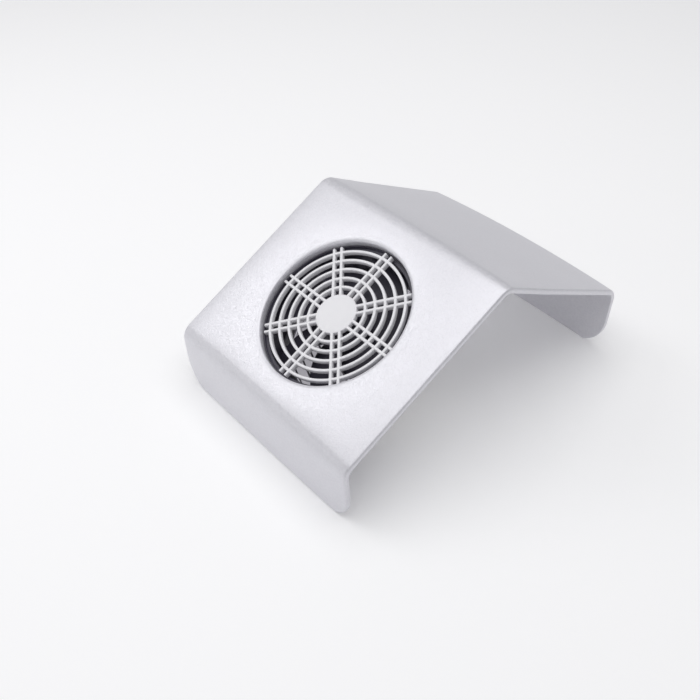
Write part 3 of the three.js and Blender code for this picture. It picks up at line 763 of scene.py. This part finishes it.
def blade():
    """One blade: a warped plate that falls as it sweeps back, so that it drives air downwards."""
    loops = []
    for out in np.linspace(0, 1, 15):
        radius = HUB_CUP - 1 + (BLADE_TIP - HUB_CUP + 1) * out
        sweep = math.radians(BLADE_SWEEP[0] + (BLADE_SWEEP[1] - BLADE_SWEEP[0]) * out)
        drop = 15.2 - 2.8 * out
        lead = math.radians(14 * out)
        upper, lower = [], []
        for back in np.linspace(0, 1, 23):
            angle = lead - sweep * back
            camber = 1.6 * math.sin(math.pi * back)
            thick = 0.3 + 0.7 * math.sin(math.pi * math.sqrt(back))
            z = FAN_TOP - 4.2 - drop * back - camber
            x, y = radius * math.cos(angle), radius * math.sin(angle)
            upper.append((x, y, z + thick))
            lower.insert(0, (x, y, z - thick))
        loops.append(upper + lower)
    return loft(loops)


def impeller():
    top, low = FAN_TOP - 2.6, MOTOR_FLOOR + 1.6
    inside, roof = HUB_CUP - 1.9, top - 1.8
    outline = [(0, top), (HUB_CUP, top), (HUB_CUP, low), (inside, low), (inside, roof), (0, roof)]
    parts = [turned(soften(outline, [0, 1.6, 0.4, 0.4, 0.8, 0], 6), 96)]
    parts += [moved(blade(), turn(i * 2 * math.pi / BLADES)) for i in range(BLADES)]
    piece = mesh_object("fan_wheel", [moved(part, turn(IMPELLER_TURN)) for part in parts])
    finished(piece, FAN_BLACK, "fan_rotor", "fan_plastic", "impeller")


impeller()

# ---------------------------------------------------------------- loops round a rectangle


class Slab:
    """A rounded rectangle round the Z axis, whose loops all have their points on the same rays from it."""

    def __init__(self, x0, x1, y0, y1, corner, per_side=14):
        self.sides = (x0, x1, y0, y1)
        self.corner = corner
        outline = self.outline(0, per_side)
        self.angles = np.sort(np.arctan2(outline[:, 1], outline[:, 0]))

    def outline(self, inset, per_side=60):
        x0, x1, y0, y1 = np.array(self.sides) + inset * np.array([1, -1, 1, -1])
        soft = soften([(x0, y0), (x1, y0), (x1, y1), (x0, y1)], [max(self.corner - inset, 0.5)] * 4, 8)
        points = []
        for i, a in enumerate(soft):
            b = soft[(i + 1) % len(soft)]
            steps = per_side if math.dist(a, b) > 5 else 1
            for t in np.arange(steps) / steps:
                points.append((a[0] + (b[0] - a[0]) * t, a[1] + (b[1] - a[1]) * t))
        return np.array(points)

    def loop(self, inset, z):
        outline = self.outline(inset)
        angles = np.arctan2(outline[:, 1], outline[:, 0])
        radii = np.hypot(outline[:, 0], outline[:, 1])
        order = np.argsort(angles)
        found = np.interp(self.angles, angles[order], radii[order], period=2 * math.pi)
        return circle(found, z, self.angles)

    def circle(self, radius, z):
        return circle(radius, z, self.angles)


# ---------------------------------------------------------------- fan frame


def fan_frame():
    slab = Slab(-60, 60, -60, 60, 5)
    parts = []
    for low in (FAN_TOP - 4, FAN_BOTTOM):
        high = low + 4
        loops = [slab.loop(0.4, high), slab.loop(0, high - 0.4)]
        loops += [slab.loop(0, low + 0.4), slab.loop(0.4, low)]
        loops += [slab.circle(FAN_BORE + 0.4, low), slab.circle(FAN_BORE, low + 0.4)]
        loops += [slab.circle(FAN_BORE, high - 0.4), slab.circle(FAN_BORE + 0.4, high)]
        parts.append(loft(loops, close=True))
    inner, outer, low, high = FAN_BORE + 0.02, 59.7, FAN_BOTTOM + 1, FAN_TOP - 1
    parts.append(turned([(inner, low), (outer, low), (outer, high), (inner, high)], 160))
    tube_top = FAN_BOTTOM + 14.5
    base = [(0, FAN_BOTTOM + 1), (5.3, FAN_BOTTOM + 1), (5.3, tube_top), (7.5, tube_top), (7.5, MOTOR_FLOOR)]
    base += [(21, MOTOR_FLOOR), (21, FAN_BOTTOM), (0, FAN_BOTTOM)]
    parts.append(turned(soften(base, [0, 0.2, 0.2, 0.3, 0.8, 0.6, 0.6, 0]), 96))
    for i in range(4):
        strut = beam(19, 58.5, 2, FAN_BOTTOM, FAN_BOTTOM + 3, 1.2)
        parts.append(moved(strut, turn(math.pi / 4 + i * math.pi / 2)))
    finished(mesh_object("fan_housing", parts), FAN_BLACK, "base", "fan_plastic", "fan_frame")


fan_frame()

# ---------------------------------------------------------------- tray and outlet guard

TRAY_TOP = -4.4
FLOOR_TOP = -42.1
FLOOR_BOTTOM = -44.3
SPIGOT_END = -51.5
BAY_SCREWS = [(-44, 75), (36, 75)]


def fan_tray():
    slab = Slab(-64, 64, -64, 84, 7)
    outside = [(0.5, TRAY_TOP), (0, TRAY_TOP - 0.5), (0, -9.6), (0.5, -9.9), (0.5, -10.6), (0, -10.9)]
    outside += [(0, -42.4), (0.25, -43.3), (0.9, -44.0), (2, FLOOR_BOTTOM)]
    spigot = [(60.2, FLOOR_BOTTOM), (59.2, -44.9), (59, -46), (59, -51.1)]
    spigot += [(58.6, SPIGOT_END), (56.9, SPIGOT_END), (56.5, -51.1), (56.5, -44.6)]
    spigot += [(56.2, FLOOR_BOTTOM), (52.9, FLOOR_BOTTOM), (52.5, -43.9), (52.5, -42.5), (52.9, FLOOR_TOP)]
    inside = [(3.3, FLOOR_TOP), (2.6, -41.4), (2.5, -40.5), (2.5, -5.0), (2.0, TRAY_TOP)]
    loops = [slab.loop(*step) for step in outside]
    loops += [slab.circle(*step) for step in spigot]
    loops += [slab.loop(*step) for step in inside]
    parts = [loft(loops, close=True)]
    for x, y in SCREW_PLACES + BAY_SCREWS:
        collar = turned_rectangle(4.3, 5.8, FLOOR_BOTTOM - 1.2, FLOOR_BOTTOM + 0.2, 0.2, 0.3, 40)
        parts.append(moved(collar, shift(x, y, 0)))
    finished(mesh_object("tray", parts), TRAY_GREY, "base", "tray_plastic", "fan_tray")


fan_tray()

GUARD_TOP = FLOOR_BOTTOM - 0.3
GUARD_LOW = GUARD_TOP - 3.4
GUARD_INNER = 51.8
GUARD_OUTER = 56.1
LOUVRE_PITCH = 7.9
LOUVRE_CHORD = 6.8
LOUVRE_REACH = 53.4  # radius on which the slats end, inside the ring's wall
LOUVRE_TURN = math.radians(68)
LOUVRE_TILT = math.radians(28)


def louvre(offset):
    """A slat with rounded edges, tilted about its length, whose ends follow the guard's round opening."""
    half, thick = LOUVRE_CHORD / 2, 0.6
    section = soften([(-half, -thick), (half, -thick), (half, thick), (-half, thick)], [thick * 0.9] * 4, 3)
    c, s = math.cos(LOUVRE_TILT), math.sin(LOUVRE_TILT)
    middle = (GUARD_TOP + GUARD_LOW) / 2
    turned_section = [(offset + c * a - s * b, middle + s * a + c * b) for a, b in section]
    loops = []
    for t in np.linspace(-1, 1, 9):
        loops.append([(t * math.sqrt(LOUVRE_REACH**2 - y**2), y, z) for y, z in turned_section])
    return moved(loft(loops), turn(LOUVRE_TURN))


def outlet_guard():
    parts = [turned_rectangle(GUARD_INNER, GUARD_OUTER, GUARD_LOW, GUARD_TOP, 0.3, 0.8, 160)]
    count = int(GUARD_INNER // LOUVRE_PITCH)
    parts += [louvre(i * LOUVRE_PITCH) for i in range(-count, count + 1)]
    # the guard's material carries painted light: a lighter grey and a glow on its upward faces
    finished(mesh_object("guard", parts), GUARD_GREY_PAINTED_LIGHT, "base", "tray_plastic", "outlet_guard")


outlet_guard()

# ---------------------------------------------------------------- screws


def screw_part(head, head_depth, shank, seat, length):
    """A pan-head screw that points up, with a cross recess in the head's underside and a threaded shank."""
    angles = around(64)
    top = seat - head_depth
    loops = []
    for r in np.linspace(0.02, 0.9, 13) * head:
        dome = top + 0.12 * head_depth * (r / head) ** 2
        x, y = np.abs(r * np.cos(angles)), np.abs(r * np.sin(angles))
        across = np.clip((0.2 * head - np.minimum(x, y)) / (0.06 * head), 0, 1)
        along = np.clip((0.62 * head - r) / (0.1 * head), 0, 1)
        loops.append(circle(r, dome + 0.45 * head_depth * across * along, angles))
    body = [(0.97 * head, top + 0.3 * head_depth), (head, top + 0.5 * head_depth)]
    body += [(head, seat), (shank, seat)]
    pitch = 0.65 * shank
    turns = int((length - 3 * shank) / pitch)
    for i in range(turns):
        z = seat + shank + i * pitch
        body += [(shank * 0.82, z), (shank, z + 0.5 * pitch)]
    body += [(shank * 0.8, seat + length - shank), (0.02, seat + length)]
    loops += [circle(r, z, angles) for r, z in body]
    return loft(loops)


GUARD_RADIUS = (GUARD_INNER + GUARD_OUTER) / 2
GUARD_ANGLES = [math.pi / 4 + i * math.pi / 2 for i in range(4)]
GUARD_SCREWS = [(GUARD_RADIUS * math.cos(a), GUARD_RADIUS * math.sin(a)) for a in GUARD_ANGLES]
SCREWS = [
    ("case_screw", SCREW_PLACES, (3.8, 2.4, 1.9, FLOOR_BOTTOM - 0.3, 37.5)),
    ("bay_screw", BAY_SCREWS, (3.8, 2.4, 1.9, FLOOR_BOTTOM - 0.3, 33)),
    ("guard_screw", GUARD_SCREWS, (1.9, 1.3, 0.9, GUARD_LOW - 0.3, 6.2)),
]


def screws():
    for name, places, size in SCREWS:
        for i, (x, y) in enumerate(places):
            part = moved(moved(screw_part(*size), turn(0.7 * i)), shift(x, y, 0))
            finished(mesh_object(f"{name}_{i + 1}_head", [part]), STEEL, "base", "steel", f"{name}_{i + 1}")


# ---------------------------------------------------------------- switch

SWITCH = (-8, 84, -24)
ROCKER_TIP = math.radians(10)
KEY_HALF = 7.5
KEY_FACE = 4.5
KEY_DISH = 1.3
MARK_AT = 3.9


def rounded(half_x, half_y, corner, steps):
    corners = [(-half_x, -half_y), (half_x, -half_y), (half_x, half_y), (-half_x, half_y)]
    return soften(corners, [corner] * 4, steps)


def rectangle_loop(half_x, half_z, corner, y):
    return [(SWITCH[0] + a, y, SWITCH[2] + b) for a, b in rounded(half_x, half_z, corner, 6)]


def key_face(x):
    """Height of the rocker's dished face above its pivot."""
    return KEY_FACE + KEY_DISH * (x / KEY_HALF) ** 2


def switch_body():
    out = SWITCH[1]
    loops = [
        rectangle_loop(8.6, 4.9, 0.8, out - 8),
        rectangle_loop(8.6, 4.9, 0.8, out + 1.6),
        rectangle_loop(8.9, 5.2, 1.0, out + 2.1),
        rectangle_loop(9.6, 5.9, 1.2, out + 2.3),
        rectangle_loop(10.2, 7.0, 1.6, out + 2.1),
        rectangle_loop(10.7, 7.5, 1.7, out + 1.4),
        rectangle_loop(10.8, 7.6, 1.7, out + 0.5),
        rectangle_loop(10.7, 7.5, 1.7, out + 0.3),
        rectangle_loop(9.2, 6.1, 0.8, out + 0.3),
        rectangle_loop(9.2, 6.1, 0.8, out - 14.6),
        rectangle_loop(8.8, 5.7, 0.8, out - 15),
    ]
    case = mesh_object("switch_case", [loft(loops)])
    finished(case, SWITCH_BLACK, "base", "switch_plastic", "switch_body")


def switch_rocker():
    pivot = shift(SWITCH[0], SWITCH[1] - 1.5, SWITCH[2]) @ turn(-ROCKER_TIP)
    arc = [(4 * math.cos(-a), 4 * math.sin(-a)) for a in np.linspace(0, math.pi, 13)]
    dish = [(x, key_face(x)) for x in np.linspace(-KEY_HALF + 0.3, KEY_HALF - 0.3, 19)]
    outline = [(KEY_HALF, 0.3), *arc, (-KEY_HALF, 0.3), (-KEY_HALF, 5.5), *dish, (KEY_HALF, 5.5)]
    loops = []
    for z, inset in [(-4.5, 0.5), (-4.35, 0.15), (-4.0, 0), (4.0, 0), (4.35, 0.15), (4.5, 0.5)]:
        scale = 1 - inset / KEY_HALF
        loops.append([(x * scale, y * scale, z) for x, y in outline])
    rocker = moved(loft(loops), pivot)
    finished(mesh_object("switch_key", [rocker]), SWITCH_BLACK, "rocker", "switch_plastic", "switch_rocker")

    face = key_face(MARK_AT)
    bar_outline = rounded(0.25, 1.4, 0.2, 3)
    bar = loft([[(MARK_AT + a, face + lift, b) for a, b in bar_outline] for lift in (-0.2, 0.04)])
    ring = turned([(0.9, -0.2), (1.35, -0.2), (1.35, 0.05), (0.9, 0.05)], 32)
    slope = math.atan(-2 * KEY_DISH * MARK_AT / KEY_HALF**2)
    onto = shift(-MARK_AT, face, 0) @ turn(slope) @ Matrix.Rotation(-math.pi / 2, 4, "X")
    piece = mesh_object("switch_marks", [moved(bar, pivot), moved(moved(ring, onto), pivot)])
    piece.data.materials.append(MARK_WHITE)
    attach(piece, "rocker")


# ---------------------------------------------------------------- cord gland

GLAND = (64, 71.5, -29)


def gland():
    along = shift(*GLAND) @ Matrix.Rotation(math.pi / 2, 4, "Y")
    outline = [(3, -11), (4.6, -11), (4.6, 4.6), (6.2, 4.6)]
    for i in range(5):
        t = i / 5
        radius = 6.2 - 1.8 * t
        z = 5.2 + 9 * t
        outline += [(radius, z), (radius, z + 1.0), (radius - 0.7, z + 1.15), (radius - 0.7, z + 1.65)]
    outline += [(4.4, 14.4), (4.2, 15), (3.2, 15), (3, 14.8)]
    angles = around(48)
    corner = 7.8
    flat = np.abs((angles % (math.pi / 3)) - math.pi / 6)
    hexagon = np.minimum(corner * math.cos(math.pi / 6) / np.cos(flat), corner - 0.15)
    loops = [circle(hexagon - inset, z, angles) for z, inset in [(0.3, 0), (4.1, 0), (4.6, 0.6)]]
    loops += [circle(4.0, 4.6, angles), circle(4.0, 0.3, angles)]
    parts = [turned(outline, 48), loft(loops, close=True)]
    piece = mesh_object("strain_relief", [moved(part, along) for part in parts])
    finished(piece, SWITCH_BLACK, "base", "switch_plastic", "cord_gland")


# ---------------------------------------------------------------- dust bag

BAG_MOUTH = 60.6
HEM_LOW = SPIGOT_END + 0.4
HEM_TOP = -45.3
BAG_TOP = HEM_LOW + 0.4  # the cloth's edge is sewn into the hem
BAG_BASE = np.array([-46, 0, 10.5])
BAG_BASE_HALVES = (41, 36)
BAG_INSET = 0.8
BAG_AROUND = 120
BAG_STEPS = 26  # rows of cloth from the mouth down to the base
BAG_FLOOR = 10.2
HEM_AROUND = 360


def bag_loop(down):
    """The bag at rest: from its round mouth under the spigot (down 0) to its flat base (down 1)."""
    angles = -around(BAG_AROUND)
    radius = BAG_MOUTH - BAG_INSET
    # other rounding here moves the settled cloth by up to 2 mm
    mouth = [Vector((radius * math.cos(a), radius * math.sin(a), BAG_TOP)) * MM for a in angles]
    mouth = np.array([tuple(DECK @ p / MM) for p in mouth])
    across, along = np.cos(angles), np.sin(angles)
    level = np.zeros(BAG_AROUND)
    half_x, half_y = (half - BAG_INSET for half in BAG_BASE_HALVES)
    foot = BAG_BASE + np.stack([half_x * across, half_y * along, level], 1)
    bulge = 5 * math.sin(math.pi * down)
    swell = np.stack([bulge * across, 0.4 * bulge * along, level], 1)
    return mouth * (1 - down) + foot * down + swell


def dust_bag():
    rows = [bag_loop(down) for down in np.linspace(0, 1, BAG_STEPS + 1)]
    base = rows[-1]
    rows += [base * (1 - t) + base.mean(0) * t for t in (0.12, 0.26, 0.4, 0.55, 0.7, 0.85)]
    points = np.concatenate(rows)
    numbers = [list(range(i * BAG_AROUND, (i + 1) * BAG_AROUND)) for i in range(len(rows))]
    mesh = bpy.data.meshes.new("bag_cloth")
    mesh.from_pydata([tuple(p * MM) for p in points], [], bands(numbers) + [numbers[-1]])
    for polygon in mesh.polygons:
        polygon.use_smooth = True
    bag = bpy.data.objects.new("bag_cloth", mesh)
    bpy.context.scene.collection.objects.link(bag)
    slacken(bag, points)
    pleat(bag)
    thicken = bag.modifiers.new("skin", "SOLIDIFY")
    thicken.thickness = 0.7 * MM
    thicken.offset = 1
    apply(bag, thicken)
    finished(bag, BAG_CLOTH, "bag", "bag_cloth", "dust_bag")


def apply(piece, modifier):
    bpy.context.view_layer.objects.active = piece
    piece.select_set(True)
    bpy.ops.object.modifier_apply(modifier=modifier.name)
    piece.select_set(False)


def slacken(bag, rest, frames=24, farthest=4.0):
    """Lets the bag settle as cloth from its mouth, and holds every point near the shape it started in."""
    held = bag.vertex_groups.new(name="mouth")
    for i in range(3 * BAG_AROUND):
        held.add([i], 1.0 if i < 2 * BAG_AROUND else 0.6, "REPLACE")
    bottom = rest[:, 2].min()
    for i, p in enumerate(rest):
        if p[2] < bottom + 0.4:
            held.add([i], 0.5, "REPLACE")
    cloth = bag.modifiers.new("cloth", "CLOTH")
    settings = cloth.settings
    settings.quality = 6
    settings.mass = 0.05
    settings.tension_stiffness = 12
    settings.compression_stiffness = 5
    settings.bending_stiffness = 0.4
    settings.shrink_min = -0.04
    settings.use_pressure = True
    settings.uniform_pressure_force = 0.35
    settings.vertex_group_mass = "mouth"
    settings.effector_weights.gravity = 1.0
    cloth.collision_settings.use_collision = False
    cloth.point_cache.frame_start = 1
    cloth.point_cache.frame_end = frames
    for frame_number in range(1, frames + 1):
        bpy.context.scene.frame_set(frame_number)
    apply(bag, cloth)
    bpy.context.scene.frame_set(1)
    for vertex, start in zip(bag.data.vertices, rest):
        start = Vector(start) * MM
        moved_by = vertex.co - start
        if moved_by.length > farthest * MM:
            vertex.co = start + moved_by.normalized() * farthest * MM
        vertex.co.z = max(vertex.co.z, BAG_FLOOR * MM)


def pleat(bag):
    """Folds under the gathered mouth, deepest just below it and gone at the base."""
    middle_x = -0.05
    for i, vertex in enumerate(bag.data.vertices):
        row, column = divmod(i, BAG_AROUND)
        if row >= BAG_STEPS:
            break
        down = row / BAG_STEPS
        depth = 2.6 * MM * math.sin(math.pi * min(down * 1.1, 1)) ** 0.6 * (1 - down) ** 1.6
        angle = column / BAG_AROUND * 2 * math.pi
        wave = math.cos(17 * angle + 1.3 * math.sin(3 * down + column / 17))
        wave += 0.45 * math.cos(29 * angle + 2 + 1.5 * down)
        out = Vector((vertex.co.x - middle_x, vertex.co.y, 0)).normalized()
        vertex.co += out * depth * wave * 0.7


def bag_hem():
    """The gathered elastic band round the spigot, rippled outside and nearly smooth inside."""
    angles = around(HEM_AROUND)
    ripple = 0.32 * np.cos(angles * 60) + 0.16 * np.cos(angles * 43 + 1)
    outline = [(59.6, HEM_LOW + 0.4), (60.2, HEM_LOW), (61.4, HEM_LOW), (61.8, HEM_LOW + 0.5)]
    outline += [(61.5, HEM_LOW + 2.0), (61.9, HEM_LOW + 3.2), (61.5, HEM_LOW + 4.4)]
    outline += [(61.8, HEM_TOP - 0.4), (61.4, HEM_TOP), (60.2, HEM_TOP), (59.6, HEM_TOP - 0.4)]
    rows = [circle(r + ripple * (1.0 if r > 61 else 0.15), z, angles) for r, z in outline]
    piece = mesh_object("hem", [loft(rows, close=True)])
    finished(piece, HEM_CLOTH, "bag", "elastic_hem", "bag_hem")


screws()
switch_body()
switch_rocker()
gland()
bag_hem()
dust_bag()

# ---------------------------------------------------------------- pieces that keep their CAD mesh


def dressed(node, material, body, slot, bevel=0.15):
    """A piece made from a CAD node's mesh, with softened edges and smooth shading."""
    mesh = bpy.data.objects[node].data.copy()
    mesh.materials.clear()
    work = bmesh.new()
    work.from_mesh(mesh)
    bmesh.ops.remove_doubles(work, verts=work.verts, dist=1e-6)
    bmesh.ops.dissolve_limit(work, angle_limit=math.radians(2), verts=work.verts, edges=work.edges)
    sharp = [e for e in work.edges if len(e.link_faces) == 2 and e.calc_face_angle(0) > math.radians(50)]
    bmesh.ops.bevel(work, geom=sharp, offset=bevel * MM, segments=2, affect="EDGES", clamp_overlap=True)
    for face in work.faces:
        face.smooth = True
    for edge in work.edges:
        if len(edge.link_faces) == 2:
            edge.smooth = edge.calc_face_angle(0) < math.radians(35)
    work.to_mesh(mesh)
    work.free()
    piece = bpy.data.objects.new(node + "_trim", mesh)
    bpy.context.scene.collection.objects.link(piece)
    finished(piece, material, body, slot, node)


LAMINATION = lamination()
BRASS = brass()
BROWN = plastic("brown_lead", (0.13, 0.06, 0.035), 0.5)
BLUE = plastic("blue_lead", (0.03, 0.09, 0.3), 0.5)
dressed("fan_gasket", foam(), "base", "foam")
dressed("rotor_ring", LAMINATION, "fan_rotor", "lamination")
dressed("motor_shaft", STEEL, "fan_rotor", "steel")
dressed("shaft_clip", STEEL, "fan_rotor", "steel")
dressed("stator_core", LAMINATION, "base", "lamination")
COPPER = copper()
for coil in range(1, 5):
    dressed(f"stator_coil_{coil}", COPPER, "base", "copper")
for bearing in ("lower_bearing", "upper_bearing"):
    dressed(bearing, STEEL, "base", "steel")
for terminal in ("switch_terminal_1", "switch_terminal_2"):
    dressed(terminal, BRASS, "base", "brass")
dressed("gland_nut", SWITCH_BLACK, "base", "switch_plastic")
dressed("fan_terminal", SWITCH_BLACK, "base", "switch_plastic")
for lead in ("lead_live", "lead_switched"):
    dressed(lead, BROWN, "base", "brown_lead", 0.02)
dressed("lead_neutral", BLUE, "base", "blue_lead", 0.02)

# ---------------------------------------------------------------- stage, light and camera


def stage():
    paint = Paint("floor", (0.92, 0.92, 0.925), 0.6, specular=0.2)
    paint.vary("Roughness", paint.noise(6, 2), 0.55, 0.65)
    paint.set("Emission Color", (1, 1, 1, 1))
    paint.set("Emission Strength", 0.13)
    bpy.ops.mesh.primitive_plane_add(size=12, location=(0, 0, -0.0002))
    floor = bpy.context.object
    floor.name = "floor"
    floor.data.materials.append(paint.material)

    world = bpy.data.worlds.new("studio")
    bpy.context.scene.world = world
    world.use_nodes = True
    background = world.node_tree.nodes["Background"]
    background.inputs["Color"].default_value = (0.97, 0.97, 1, 1)
    background.inputs["Strength"].default_value = 0.36


def softbox(name, at, aim, size, power):
    data = bpy.data.lights.new(name, "AREA")
    data.shape = "RECTANGLE"
    data.size, data.size_y = size
    data.energy = power
    light = bpy.data.objects.new(name, data)
    light.location = at
    light.rotation_euler = (Vector(aim) - Vector(at)).to_track_quat("-Z", "Y").to_euler()
    bpy.context.scene.collection.objects.link(light)


def camera():
    """The photograph's viewing angle: from the near side's front, well above, with a slight roll."""
    azimuth, elevation, roll = math.radians(-37.74), math.radians(41.41), math.radians(-3.07)
    target = Vector((-0.0494, 0, 0.0393))
    distance = 0.6956
    level = math.cos(elevation)
    back = Vector((math.sin(azimuth) * level, -math.cos(azimuth) * level, math.sin(elevation)))
    data = bpy.data.cameras.new("camera")
    data.lens = 48.95
    data.sensor_width = 36
    made = bpy.data.objects.new("camera", data)
    made.location = target + back * distance
    made.rotation_mode = "QUATERNION"
    rolled = Matrix.Rotation(roll, 3, "Z").to_quaternion()
    made.rotation_quaternion = (-back).to_track_quat("-Z", "Y") @ rolled
    bpy.context.scene.collection.objects.link(made)
    bpy.context.scene.camera = made


stage()
softbox("overhead", (0.0, 0.0, 1.5), (0, 0, 0), (1.7, 1.7), 13.5)
softbox("key", (-0.48, 0.92, 1.0), (-0.08, 0, 0.07), (0.6, 0.6), 2.5)
softbox("low", (-1.15, 0.75, 0.42), (-0.12, 0, 0.05), (1.0, 0.5), 1.0)
camera()
bpy.context.scene.view_settings.view_transform = "Standard"
